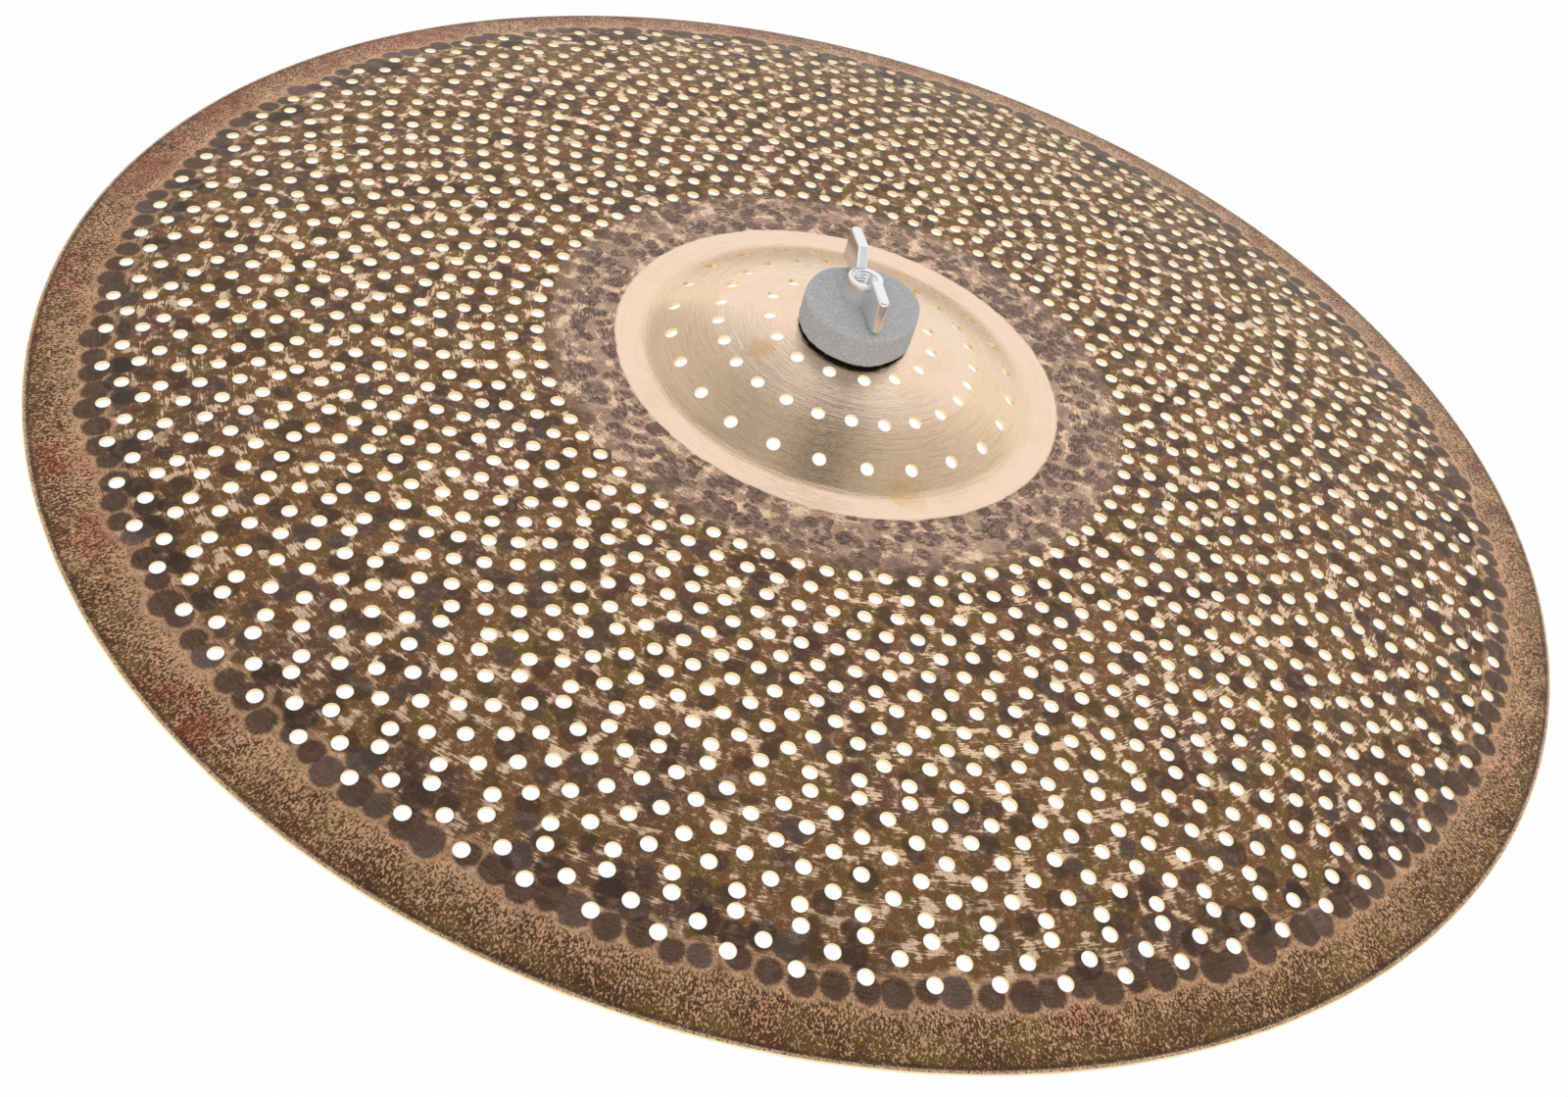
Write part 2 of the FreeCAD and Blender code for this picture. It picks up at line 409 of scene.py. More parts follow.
def bowMaterial():
    f = bowFinish
    material, tree, shader = newMaterial("heatedBronze")
    polar = useGroup(tree, groups["polar"])
    place, radius = polar["Place"], polar["Radius"]
    lines = useGroup(tree, groups["lathe"], f["lines"])["Value"]
    scratches = useGroup(tree, groups["lathe"], f["scratches"])["Value"]
    grain = ramp(tree, noiseAt(tree, place, *f["grain"]), 0.32, 0.68)
    mottle, cloud, tint = (noiseAt(tree, place, *f[name]) for name in ("mottle", "cloud", "tint"))
    wavy = plus(tree, radius, centred(tree, noiseAt(tree, place, 0.12, 4.0), 5.0))
    inner = ramp(tree, wavy, f["innerZone"] + f["zoneBlend"], f["innerZone"] - f["zoneBlend"])
    outside = minus(tree, 1.0, inner)
    bow = times(tree, outside, ramp(tree, wavy, f["rimZone"] - 2, f["rimZone"] - 6))

    # The skin, in three tints, worn in places and pink near the bell
    skin = mixColour(tree, ramp(tree, tint, 0.45, 0.62), f["brown"], f["olive"])
    skin = mixColour(tree, ramp(tree, cloud, 0.5, 0.62), skin, f["purple"], f["purpleShare"])
    worn = times(tree, ramp(tree, mottle, 0.5, 0.7), ramp(tree, scratches, 0.47, 0.6))
    skin = mixColour(tree, worn, skin, f["rawMetal"], f["wornShare"])
    skin = mixColour(tree, inner, skin, f["innerSkin"], f["innerShare"])

    layers = [markLayer(tree, layer) for layer in f["markLayers"]]
    marks = layers[0]["Mark"]
    for layer in layers[1:]:
        marks = calc(tree, "MAXIMUM", marks, layer["Mark"])
    innerMarks = calc(tree, "MAXIMUM", *(markLayer(tree, layer)["Mark"] for layer in f["innerLayers"]))
    innerMarks = times(tree, innerMarks, inner)

    # Bare patches, ragged along the lathe lines and held off the marks
    ragged = fit(tree, lines, 0.25, fit(tree, scratches, 0.6, -0.425))
    level = fit(tree, inner, -0.05, f["bareLevel"])
    patches = plus(tree, noiseAt(tree, place, *f["patches"]), ragged)
    bare = ramp(tree, minus(tree, patches, level), 0.0, 0.05)
    bare = times(tree, bare, minus(tree, 1.0, times(tree, marks, 0.9)))
    surface = mixColour(tree, bare, skin, f["rawMetal"], f["bareShare"])
    crackle = nearTo(tree, noiseAt(tree, place, *f["crackle"]), 0.5, 0.045, 0.015)
    crackle = times(tree, crackle, ramp(tree, mottle, 0.46, 0.6))
    surface = mixColour(tree, crackle, surface, f["rawMetal"], f["crackleShare"])

    shade = mixColour(tree, ramp(tree, layers[0]["Tone"], 0.6, 0.9), f["markDark"], f["markGrey"])
    surface = mixColour(tree, times(tree, marks, bow), surface, shade, f["markShare"])
    broken = ramp(tree, noiseAt(tree, place, *f["broken"]), 0.34, 0.5)
    innerMarks = times(tree, innerMarks, fit(tree, broken, 0.65, 0.35))
    rubbed = calc(tree, "MAXIMUM", ramp(tree, scratches, 0.42, 0.6), times(tree, bare, 0.9))
    innerMarks = times(tree, innerMarks, fit(tree, rubbed, -0.45, 0.95))
    surface = mixColour(tree, innerMarks, surface, f["innerMark"])

    rim = ramp(tree, minus(tree, wavy, f["rimZone"]), -0.8, 0.8)
    surface = mixColour(tree, rim, surface, rimColour(tree, polar, mottle, tint, cloud, grain))
    rows = []
    for shift, turn, size, gaps in f["chainRows"]:
        row = {"Radius": f["chainRadius"] + shift, "Count": f["chainCount"], "Turn": turn, "Size": size,
               "Gaps": gaps}
        rows.append(useGroup(tree, groups["chain"], row))
    border = times(tree, rows[1]["Border"], ramp(tree, scratches, 0.36, 0.5))
    surface = mixColour(tree, border, surface, f["rimLight"], f["borderShare"])
    for row in rows:
        shade = mixColour(tree, ramp(tree, row["Tone"], 0.6, 1.1), f["chainDark"], f["markGrey"])
        surface = mixColour(tree, row["Mark"], surface, shade, f["chainShare"])

    depth = fit(tree, grain, fit(tree, marks, -0.35, 0.75), 0.79)
    surface = scaled(tree, surface, times(tree, depth, fit(tree, mottle, 0.5, 0.75)))
    edge = plus(tree, radius, centred(tree, noiseAt(tree, place, 0.2), 1.6))
    bell = ramp(tree, minus(tree, edge, f["bellEdge"]), 0.9, 0.3)
    surface = mixColour(tree, bell, surface, f["bellGold"])

    shine = calc(tree, "MAXIMUM", bare, bell)
    metallic = fit(tree, shine, 0.12, 0.86)
    roughness = fit(tree, lines, 0.2, fit(tree, shine, -0.12, 0.38))
    normal = bumpFrom(tree, times(tree, layers[-1]["Dent"], bow), f["dentDepth"] * mm)
    fine = plus(tree, times(tree, lines, 0.6), times(tree, grain, 0.4))
    normal = bumpFrom(tree, fine, f["grainDepth"] * mm, normal)
    feed(tree, shader, Base_Color=surface, Metallic=metallic, Roughness=roughness, Normal=normal)
    return material


# The bell's finish: turned bare bronze

bellFinish = {
    "gold": (0.910, 0.705, 0.535),
    "warm": (0.885, 0.655, 0.465),
    "stain": (0.600, 0.420, 0.250),
    "stainShare": 0.3,
    "paintedSteepReflection": (0.875, 0.650, 0.440),    # painted darker reflection: the steep part of the bell is a little darker and yellower
    "steepStart": 45.0,
    "steepEnd": 67.0,
    "smear": (0.760, 0.430, 0.170),
    "smearShare": 0.5,
    "smearRagged": 18.0,
    "smears": ((-26.0, -24.0, 6.5), (32.0, -57.0, 9.0)),    # place and size of two brown smears, in mm
    "fineLines": {"Lines per mm": 3.0, "Streak": 5.0},
    "wideLines": {"Lines per mm": 0.6, "Streak": 1.6},
    "lineDepth": 0.16,
}


def bellMaterial():
    f = bellFinish
    material, tree, shader = newMaterial("turnedBronze", Metallic=1.0, Anisotropic=0.6,
                                         Anisotropic_Rotation=0.25)
    polar = useGroup(tree, groups["polar"])
    place, radius = polar["Place"], polar["Radius"]
    fineLines = useGroup(tree, groups["lathe"], f["fineLines"])["Value"]
    wideLines = useGroup(tree, groups["lathe"], f["wideLines"])["Value"]
    cloud = noiseAt(tree, place, 0.05)
    colour = mixColour(tree, ramp(tree, cloud, 0.48, 0.75), f["gold"], f["warm"])
    # painted darker reflection: the steep cone of the bell gets a darker, yellower gold
    paintedSteepReflection = times(tree, ramp(tree, radius, f["steepStart"] - 3, f["steepStart"] + 3),
                  ramp(tree, radius, f["steepEnd"] + 2, f["steepEnd"] - 2))
    colour = mixColour(tree, paintedSteepReflection, colour, f["paintedSteepReflection"])
    stained = fit(tree, paintedSteepReflection, f["stainShare"], f["stainShare"])    # twice as much where it is steep, adding to its painted darker reflection
    colour = mixColour(tree, ramp(tree, fineLines, 0.5, 0.7), colour, f["stain"], stained)
    ragged = centred(tree, noiseAt(tree, place, 0.16, 4.0, 0.75), f["smearRagged"])
    for x, y, size in f["smears"]:
        away = vectorCalc(tree, "DISTANCE", place, (x, y, 0))
        smear = ramp(tree, plus(tree, away, ragged), size, size * 0.2)
        colour = mixColour(tree, smear, colour, f["smear"], f["smearShare"])
    roughness = fit(tree, fineLines, 0.12, 0.03)
    normal = bumpFrom(tree, fit(tree, fineLines, 0.5, wideLines), f["lineDepth"] * mm)
    tangent = addNode(tree, "Tangent", direction_type="RADIAL", axis="Z").outputs[0]
    feed(tree, shader, Base_Color=colour, Roughness=roughness, Normal=normal, Tangent=tangent)
    return material


# The bare walls of the holes and the rim

cutFinish = {
    "pale": (1.0, 0.86, 0.54),
    "deep": (0.98, 0.73, 0.38),
    "roughness": 0.3,
}


def cutMaterial():
    f = cutFinish
    material, tree, shader = newMaterial("cutBronze", Metallic=1.0, Roughness=f["roughness"])
    place = useGroup(tree, groups["polar"])["Place"]
    cloud = noiseAt(tree, place, 0.08, 2.0)
    colour = mixColour(tree, ramp(tree, cloud, 0.35, 0.7), f["pale"], f["deep"])
    scratch = noiseAt(tree, place, 6.0, 2.0)
    feed(tree, shader, Base_Color=colour, Normal=bumpFrom(tree, scratch, 0.02 * mm))
    return material


# The plate

plate = {
    "diameter": 508.0,
    "bellHeight": 18.0,
    "bellSphereRadius": 130.0,
    "blendRadius": 12.0,
    "bowHeight": 14.0,
    "splitRadius": 170.0,
    "splitDrop": 2.7,
    "thickness": 1.3,
    "edgeThickness": 0.9,
    "mountingHole": 6.2,
    "edgeRound": 0.25,
    "sharpAngle": 40,
    "sectors": 560,
    "bellRows": 30,
    "bowRows": 70,
    "dentCell": 10.0,     # size of the hammer's dents
    "dentShare": 0.6,     # share of its cell that a dent fills
    "dentDepth": 0.07,
    "waveCell": 55.0,     # the slow waves that hammering leaves
    "waveDepth": 0.16,
}

perforation = {
    "holeRadius": 2.25,
    "holeSides": 20,
    "reach": 3.0,         # the drill bits end this far above and below the sheet
    "seed": 4,
    "bellRings": ((27.7, 15, 1.6), (43.6, 25, 8.5), (58.2, 24, 3.0)),    # radius, holes, first angle
    "bowStart": 101.6,
    "bowSpacing": 5.35,
    "bowExtraSpacing": 2.9,    # wider near the bell, fading out over bowFade rings
    "bowFade": 6.0,
    # rings, holes in each and the first angle
    "bowGroups": ((2, 72, -1.5), (1, 76, 0.0), (9, 82, 1.6), (7, 83, 0.7), (3, 84, -0.1)),
    "placeJitter": 0.25,
}


def arcCentre(start, direction, end):
    normal = Vector((-direction.y, direction.x))
    chord = end - start
    return start + normal * (chord.dot(chord) / (2 * chord.dot(normal)))


def plateArcs():  # outer radius, centre, arc radius and side of each arc of the top face
    p = plate
    reach = p["bellSphereRadius"] + p["blendRadius"]
    blendHeight = p["blendRadius"] - p["bellHeight"]
    bellCentre = Vector((0, -p["bellSphereRadius"]))
    bowStartRadius = math.sqrt(reach ** 2 - (p["bellSphereRadius"] + blendHeight) ** 2)
    bowStart = Vector((bowStartRadius, -p["bellHeight"]))
    blendCentre = Vector((bowStart.x, blendHeight))
    foot = bellCentre + (blendCentre - bellCentre) * (p["bellSphereRadius"] / reach)
    split = Vector((p["splitRadius"], -p["bellHeight"] - p["splitDrop"]))
    rim = Vector((p["diameter"] / 2, -p["bellHeight"] - p["bowHeight"]))
    innerCentre = arcCentre(bowStart, Vector((1, 0)), split)
    spoke = split - innerCentre
    outerCentre = arcCentre(split, Vector((spoke.y, -spoke.x)).normalized(), rim)
    return [
        (foot.x, bellCentre, p["bellSphereRadius"], 1),
        (bowStart.x, blendCentre, p["blendRadius"], -1),
        (split.x, innerCentre, (split - innerCentre).length, 1),
        (rim.x, outerCentre, (rim - outerCentre).length, 1),
    ]


plateLine = plateArcs()


def surfaceAt(radius):  # height of the top face and its normal, in the plane of the radius
    for outer, centre, arcRadius, side in plateLine:
        if radius <= outer:
            break
    rise = math.sqrt(arcRadius ** 2 - (radius - centre.x) ** 2) * side
    normal = Vector((radius - centre.x, rise)) * (side / arcRadius)
    return centre.y + rise, normal


def hammered(x, y, radius):  # how far hammering has sunk the sheet here
    p = plate
    bowShare = min(1, max(0, (radius - bowFinish["bellEdge"]) / p["dentCell"]))
    rimShare = min(1, max(0, (bowFinish["rimZone"] + p["dentCell"] - radius) / p["dentCell"]))
    near = noise.voronoi(Vector((x, y, 0)) / p["dentCell"])[0][0]
    dent = max(0, 1 - near / p["dentShare"]) * p["dentDepth"] * bowShare * rimShare
    wave = noise.noise(Vector((x, y, 0)) / p["waveCell"]) * p["waveDepth"] * bowShare
    return wave - dent


def holeRings():  # radius, count and first angle of every ring of holes
    p = perforation
    rings = list(p["bellRings"])
    radius, made = p["bowStart"], 0
    for ringCount, holeCount, startAngle in p["bowGroups"]:
        for i in range(ringCount):
            rings.append((radius, holeCount, startAngle + (i % 2) * 180 / holeCount))
            radius += p["bowSpacing"] + p["bowExtraSpacing"] * math.exp(-made / p["bowFade"])
            made += 1
    return rings


def drillBits(materials):  # one prism for each hole, all in one mesh
    p = perforation
    dice = random.Random(p["seed"])
    verts, faces = [], []
    for radius, count, startAngle in holeRings():
        for i in range(count):
            slip = dice.gauss(0, p["placeJitter"])
            angle = math.radians(startAngle + i * 360 / count) + slip / radius
            away = radius + dice.gauss(0, p["placeJitter"])
            height, normal = surfaceAt(away)
            axis = Vector((normal.x, 0, normal.y))
            side = Vector((normal.y, 0, -normal.x))
            first = len(verts)
            for end in (-1, 1):
                for k in range(p["holeSides"]):
                    turn = k / p["holeSides"] * fullTurn
                    spot = Vector((away, 0, height)) + axis * (end * p["reach"])
                    spot += side * (math.cos(turn) * p["holeRadius"])
                    spot += Vector((0, math.sin(turn) * p["holeRadius"], 0))
                    verts.append(Matrix.Rotation(angle, 3, "Z") @ spot * mm)
            n = p["holeSides"]
            faces.append([first + k for k in reversed(range(n))])
            faces.append([first + n + k for k in range(n)])
            for k in range(n):
                after = (k + 1) % n
                faces.append((first + k, first + after, first + n + after, first + n + k))
    return newPiece("drillBits", verts, faces, materials, [2] * len(faces))


def plateMesh(materials):
    p = plate
    bellEdge, rim = bowFinish["bellEdge"], p["diameter"] / 2
    bellWidth, bowWidth = bellEdge - p["mountingHole"], rim - p["edgeRound"] - bellEdge
    radii = [p["mountingHole"] + bellWidth * i / p["bellRows"] for i in range(p["bellRows"])]
    radii += [bellEdge + bowWidth * i / p["bowRows"] for i in range(p["bowRows"] + 1)]
    top, bottom = [], []
    for radius in radii:
        height, normal = surfaceAt(radius)
        thinning = max(0, radius - p["splitRadius"]) / (rim - p["splitRadius"])
        sheet = p["thickness"] + (p["edgeThickness"] - p["thickness"]) * thinning
        top.append((radius, height))
        bottom.append((radius - normal.x * sheet, height - normal.y * sheet))
    middle = (rim, (top[-1][1] + bottom[-1][1]) / 2)
    outline = top + [middle] + bottom[::-1]
    verts = spinPoints(outline, p["sectors"])
    for vert in verts:
        x, y = vert.x / mm, vert.y / mm
        vert.z += hammered(x, y, math.hypot(x, y)) * mm
    slots = []    # 0 is the bow's finish, 1 the bell's, and 2 the bare edges'
    rows = len(radii)
    for loop in range(len(outline)):
        if loop in (rows - 1, rows, len(outline) - 1):
            slot = 2
        else:
            slot = 1 if (outline[loop][0] + outline[loop + 1][0]) / 2 < bellEdge else 0
        slots += [slot] * p["sectors"]
    faces = loopFaces(len(outline), p["sectors"])
    return newPiece("perforatedPlate", verts, faces, materials, slots)


finishes = [bowMaterial(), bellMaterial(), cutMaterial()]
cymbal = plateMesh(finishes)
joinShape(cymbal, drillBits(finishes), "DIFFERENCE")
smoothPiece(cymbal, plate["sharpAngle"])
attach(cymbal, "plate")
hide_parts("cymbal")
print("plate drilled:", len(cymbal.data.polygons), "faces")


# The felts

feltFinish = {
    "grey": (0.480, 0.485, 0.480),
    "light": (0.740, 0.740, 0.730),
    "under": (0.012, 0.009, 0.007),    # painted shade, near black, on faces that look down
    "fibreScale": 1700.0,
    "tuftScale": 420.0,
    "tuftShare": 0.25,
    "depth": 0.25,
}


def feltMaterial():
    f = feltFinish
    material, tree, shader = newMaterial("greyFelt", Roughness=0.95)
    whole = addNode(tree, "TexCoord").outputs["Object"]
    fibres = noiseAt(tree, whole, f["fibreScale"], 4.0, 0.75)
    tufts = noiseAt(tree, whole, f["tuftScale"], 3.0, 0.6)
    colour = mixColour(tree, ramp(tree, fibres, 0.44, 0.66), f["grey"], f["light"])
    colour = mixColour(tree, ramp(tree, tufts, 0.5, 0.7), colour, f["light"], f["tuftShare"])
    # painted shade: faces that look down are turned near black, so the felt's underside shows dark in the
    # bell
    facing = axes(tree, addNode(tree, "NewGeometry").outputs["Normal"])["Z"]
    colour = mixColour(tree, ramp(tree, facing, -0.12, -0.4), colour, f["under"])
    height = fit(tree, tufts, 0.8, fibres)
    feed(tree, shader, Base_Color=colour, Normal=bumpFrom(tree, height, f["depth"] * mm))
    return material


felt = {
    "upperRadius": 19.0,
    "lowerRadius": 13.0,
    "bore": 5.3,
    "topHeight": 10.2,
    "seamHeight": 4.7,
    "bottomHeight": -9.25,
    "edgeRound": 1.4,
    "footRound": 1.6,
    "gap": 0.3,
    "sectors": 144,
    "rows": 14,           # loops up the side
    "faceRows": 18,       # loops across the top and the underside
    "outlineWave": 0.75,
    "waves": ((1.4, 1.0), (8.0, 0.25)),       # scale and height of the outline's unevenness
    "dimples": ((0.5, 0.12), (1.7, 0.05)),    # scale per mm and depth of the surface's unevenness
    "slip": (1.2, -2.8),  # the upper felt sits a little off centre and is worn out of round
    "stretch": 0.06,
    "cornerTurn": 50.0,
    "cornerBulge": 2.2,
    "fibres": 700,        # loose ones, on each piece
    "fibreSeed": 20,
    "fibreSteps": 3,
    "fibreLength": 1.0,
    "fibreShares": (0.4, 1.3),    # shortest and longest, as shares of the length
    "fibreLifts": (0.05, 0.3),
    "fibreBend": 0.3,
    "fibreThickness": 0.03,
    "sharpAngle": 50,
}


def feltPiece(name, radius, low, high, topRound, footRound, worn, seed):
    p = felt
    side = []
    for i in range(p["rows"] + 1):
        height = low(radius) + (high(radius) - low(radius)) * i / p["rows"]
        inset = 0
        for corner, away in ((topRound, high(radius) - height), (footRound, height - low(radius))):
            if corner > away:
                inset += corner - math.sqrt(corner ** 2 - (corner - away) ** 2)
        side.append((radius - inset, height))
    across = [i / p["faceRows"] for i in range(p["faceRows"])]
    below = [p["bore"] + (side[0][0] - p["bore"]) * share for share in across]
    above = [p["bore"] + (side[-1][0] - p["bore"]) * share for share in across]
    outline = [(r, low(r)) for r in below] + side + [(r, high(r)) for r in above[::-1]]
    verts = spinPoints(outline, p["sectors"])
    turn = math.radians(p["cornerTurn"])
    lift = Vector((0, 0, seed))
    for vert in verts:
        away = math.hypot(vert.x, vert.y) / mm
        share = max(0, (away - p["bore"]) / (radius - p["bore"]))
        around = Vector((vert.x, vert.y, 0)) / (away * mm)
        wave = sum(noise.noise(around * scale + lift) * height for scale, height in p["waves"])
        dimple = sum(noise.noise(vert / mm * scale) * depth for scale, depth in p["dimples"])
        corner = max(0, around.x * math.cos(turn) + around.y * math.sin(turn))
        bulge = corner ** 6 * p["cornerBulge"] * worn
        rise = (vert.z / mm - low(away)) / (high(away) - low(away))
        vert += around * ((wave * p["outlineWave"] + bulge - abs(dimple)) * share * mm)
        vert.x += p["slip"][0] * worn * share * mm
        vert.y += (vert.y * p["stretch"] + p["slip"][1] * mm) * worn * share
        vert.z += (low(math.hypot(vert.x, vert.y) / mm) - low(away)) * (1 - rise) * mm
        vert.z -= abs(dimple) * share * (1 if vert.z > 0 else 0) * mm
    return newPiece(name, verts, loopFaces(len(outline), p["sectors"]), [feltSkin])


def addFibres(piece, seed):  # loose fibres on the piece's surface
    p = felt
    dice = random.Random(seed)
    mesh = piece.data
    verts = [v.co.copy() for v in mesh.vertices]
    faces = [tuple(f.vertices) for f in mesh.polygons]
    steps = p["fibreSteps"]
    clear = p["bore"] * 1.6 * mm    # none grow close to the bore
    spots = [(f.center.copy(), f.normal.copy()) for f in mesh.polygons if f.center.xy.length > clear]
    for _ in range(p["fibres"]):
        spot, normal = dice.choice(spots)
        if abs(normal.z) > 0.5 and normal.z * spot.z < 0:
            continue
        along = normal.cross(Vector((dice.gauss(0, 1), dice.gauss(0, 1), dice.gauss(0, 1)))).normalized()
        lift = dice.uniform(*p["fibreLifts"])
        length = p["fibreLength"] * dice.uniform(*p["fibreShares"]) * mm
        side = normal.cross(along) * (p["fibreThickness"] * mm)
        first = len(verts)
        for step in range(steps + 1):
            share = step / steps
            bow = along * (length * share) + normal * (length * lift * math.sin(share * math.pi))
            bow += side.normalized() * (length * p["fibreBend"] * share ** 2 * dice.uniform(-1, 1))
            centre, back, up = spot + bow, side * 0.5, normal * side.length
            verts += [centre + side, centre - back + up, centre - back - up]
        for step in range(steps):
            low = first + step * 3
            for k in range(3):
                after = (k + 1) % 3
                faces.append((low + k, low + after, low + 3 + after, low + 3 + k))
        last = first + steps * 3
        faces.append((first + 2, first + 1, first))
        faces.append((last, last + 1, last + 2))
    mesh.clear_geometry()
    mesh.from_pydata([tuple(v) for v in verts], [], faces)
    mesh.update()


def bellTop(radius):
    reach = plate["bellSphereRadius"] + felt["gap"]
    return math.sqrt(reach ** 2 - radius ** 2) - plate["bellSphereRadius"]


def bellUnder(radius):  # the lower felt stops at the bell's inside, on its outer edge
    reach = plate["bellSphereRadius"] - plate["thickness"] - felt["gap"]
    return math.sqrt(reach ** 2 - felt["lowerRadius"] ** 2) - plate["bellSphereRadius"]


def level(height):
    return lambda radius: height


feltSkin = feltMaterial()
feltLayers = [
    feltPiece("upperFeltBase", felt["upperRadius"], bellTop, level(felt["seamHeight"]),
              0, felt["footRound"], 1, 3.0),
    feltPiece("upperFeltCrown", felt["upperRadius"], level(felt["seamHeight"]), level(felt["topHeight"]),
              felt["edgeRound"], 0, 1, 3.0),
    feltPiece("lowerFeltPad", felt["lowerRadius"], level(felt["bottomHeight"]), bellUnder, 0, 0, 0, 8.0),
]
for number, layer in enumerate(feltLayers):
    addFibres(layer, number + felt["fibreSeed"])
    smoothPiece(layer, felt["sharpAngle"])
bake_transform(feltLayers[0])
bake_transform(feltLayers[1])
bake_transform(feltLayers[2])
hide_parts("upper_felt")
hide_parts("upper_felt")
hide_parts("lower_felt")
print("felts pressed")


# The wing nut

wingNut = {
    "threadRadius": 3.32,
    "threadDepth": 0.62,
    "threadPitch": 1.25,
    "threadSteps": 12,    # loops in each turn of the thread
    "threadLeadIn": 0.6,
    "baseRadius": 7.2,
    "baseHeight": 0.6,
    "neckRadius": 6.0,
    "neckHeight": 5.5,
    "hubHeight": 8.0,
    "seat": 9.55,
    "angle": -67.0,
    "wingThickness": 3.7,
    "halfSpan": 21.8,
    "shoulder": 9.4,
    "wingHeight": 13.6,
    "footHeight": 1.6,
    "rootHeight": 1.3,
    "cornerRadius": 1.2,
    "edgeRound": 0.5,
    "baseRound": 0.3,
    "hubRound": 0.5,
    "mouthChamfer": 0.2,
    "tipLean": 0.3,       # the tips lean out by this from foot to top
    "noseLength": 4.0,    # the half-round ends begin this far from the tips
    "slices": 12,         # across a wing's thickness
    "sectors": 96,
    "sharpAngle": 35,
}

nutFinish = {
    "colour": (0.88, 0.88, 0.89, 1),
    "hazeScale": 500.0,
    "lumpScale": 160.0,
    "lumpDepth": 0.06,
}


def nutMaterial():
    f = nutFinish
    material, tree, shader = newMaterial("platedCasting", Metallic=1.0, Base_Color=f["colour"])
    whole = addNode(tree, "TexCoord").outputs["Object"]
    roughness = fit(tree, noiseAt(tree, whole, f["hazeScale"]), 0.16, 0.14)
    lumps = noiseAt(tree, whole, f["lumpScale"], 2.0)
    feed(tree, shader, Roughness=roughness, Normal=bumpFrom(tree, lumps, f["lumpDepth"] * mm))
    return material


def nutHub(material):  # a turned hub with a real screw thread in its bore
    p = wingNut
    base, neck, top, small, large = (p[name] for name in (
        "baseRadius", "neckRadius", "hubHeight", "baseRound", "hubRound"))
    outside = [(base - small, 0), (base, small), (base, p["baseHeight"]), (neck, p["neckHeight"]),
               (neck, top - large), (neck - large * 0.3, top - large * 0.3), (neck - large, top)]
    mouth = p["threadRadius"] + p["threadDepth"] + p["mouthChamfer"]
    rows = round(top / p["threadPitch"] * p["threadSteps"])
    loops = []
    for radius, height in outside + [(mouth, top)]:
        loops.append([(radius, height)] * p["sectors"])
    for i in range(1, rows):
        height = top * (1 - i / rows)
        loop = []
        for sector in range(p["sectors"]):
            phase = (height / p["threadPitch"] - sector / p["sectors"]) % 1
            groove = 1 - abs(2 * phase - 1)
            mouthShare = min(1, min(height, top - height) / p["threadLeadIn"])
            radius = p["threadRadius"] + p["threadDepth"] * (1 - mouthShare * (1 - groove))
            loop.append((radius, height))
        loops.append(loop)
    loops.append([(mouth, 0)] * p["sectors"])
    verts = []
    for loop in loops:
        for sector, (radius, height) in enumerate(loop):
            turn = sector / p["sectors"] * fullTurn
            verts.append(Vector((radius * math.cos(turn), radius * math.sin(turn), height)) * mm)
    return newPiece("platedWingNut", verts, loopFaces(len(loops), p["sectors"]), [material])


def roundedCorner(before, corner, after, radius, steps=6):
    toBefore, toAfter = (before - corner).normalized(), (after - corner).normalized()
    half = toBefore.angle(toAfter) / 2
    centre = corner + (toBefore + toAfter).normalized() * (radius / math.sin(half))
    start = corner + toBefore * (radius / math.tan(half)) - centre
    end = corner + toAfter * (radius / math.tan(half)) - centre
    return [centre + start.slerp(end, i / steps) for i in range(steps + 1)]


def nutWing(material, side):
    p = wingNut
    root = (p["threadRadius"] + p["threadDepth"] + p["neckRadius"]) / 2
    tip = [Vector((p["halfSpan"], p["wingHeight"])), Vector((p["halfSpan"] + p["tipLean"], p["footHeight"]))]
    shoulder = Vector((p["shoulder"], p["wingHeight"]))
    foot = Vector((p["baseRadius"] - 1, p["rootHeight"]))
    outline = [Vector((root, p["rootHeight"])), foot]
    outline += roundedCorner(foot, tip[1], tip[0], p["cornerRadius"])
    outline += roundedCorner(tip[1], tip[0], shoulder, p["cornerRadius"])
    top = p["hubHeight"] - 0.1
    outline += [shoulder, Vector((p["neckRadius"] - 0.3, top)), Vector((root, top))]
    half = p["wingThickness"] / 2
    count = len(outline)
    outward = []
    for i in range(count):
        run = outline[(i + 1) % count] - outline[i - 1]
        outward.append(Vector((run.y, -run.x)).normalized())
    verts, faces = [], []
    for k in range(p["slices"] + 1):
        across = -half * math.cos(math.pi * k / p["slices"])
        over = max(0, abs(across) - half + p["edgeRound"])
        inset = p["edgeRound"] - math.sqrt(max(0, p["edgeRound"] ** 2 - over ** 2))
        nose = half - math.sqrt(max(0, half ** 2 - across ** 2))
        for spot, way in zip(outline, outward):
            place = spot - way * inset
            tipShare = min(1, max(0, (spot.x - p["halfSpan"] + p["noseLength"]) / 2))
            verts.append(Vector(((place.x - nose * tipShare) * side, across * side, place.y)) * mm)
    for k in range(p["slices"]):
        for i in range(count):
            after = (i + 1) % count
            faces.append((k * count + after, k * count + i, (k + 1) * count + i, (k + 1) * count + after))
    faces.append(list(range(count)))
    faces.append([p["slices"] * count + i for i in reversed(range(count))])
    return newPiece("wing", verts, faces, [material])


def makeWingNut():
    p = wingNut
    plating = nutMaterial()
    nut = nutHub(plating)
    for side in (1, -1):
        joinShape(nut, nutWing(plating, side), "UNION")
    turned = Matrix.Rotation(math.radians(p["angle"]), 4, "Z")
    nut.data.transform(Matrix.Translation((0, 0, p["seat"] * mm)) @ turned)
    smoothPiece(nut, p["sharpAngle"])
    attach(nut, "nut")
    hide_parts("wing_nut")
    print("wing nut cast:", len(nut.data.polygons), "faces")


makeWingNut()


# The sleeve and the cup washer keep their own shapes

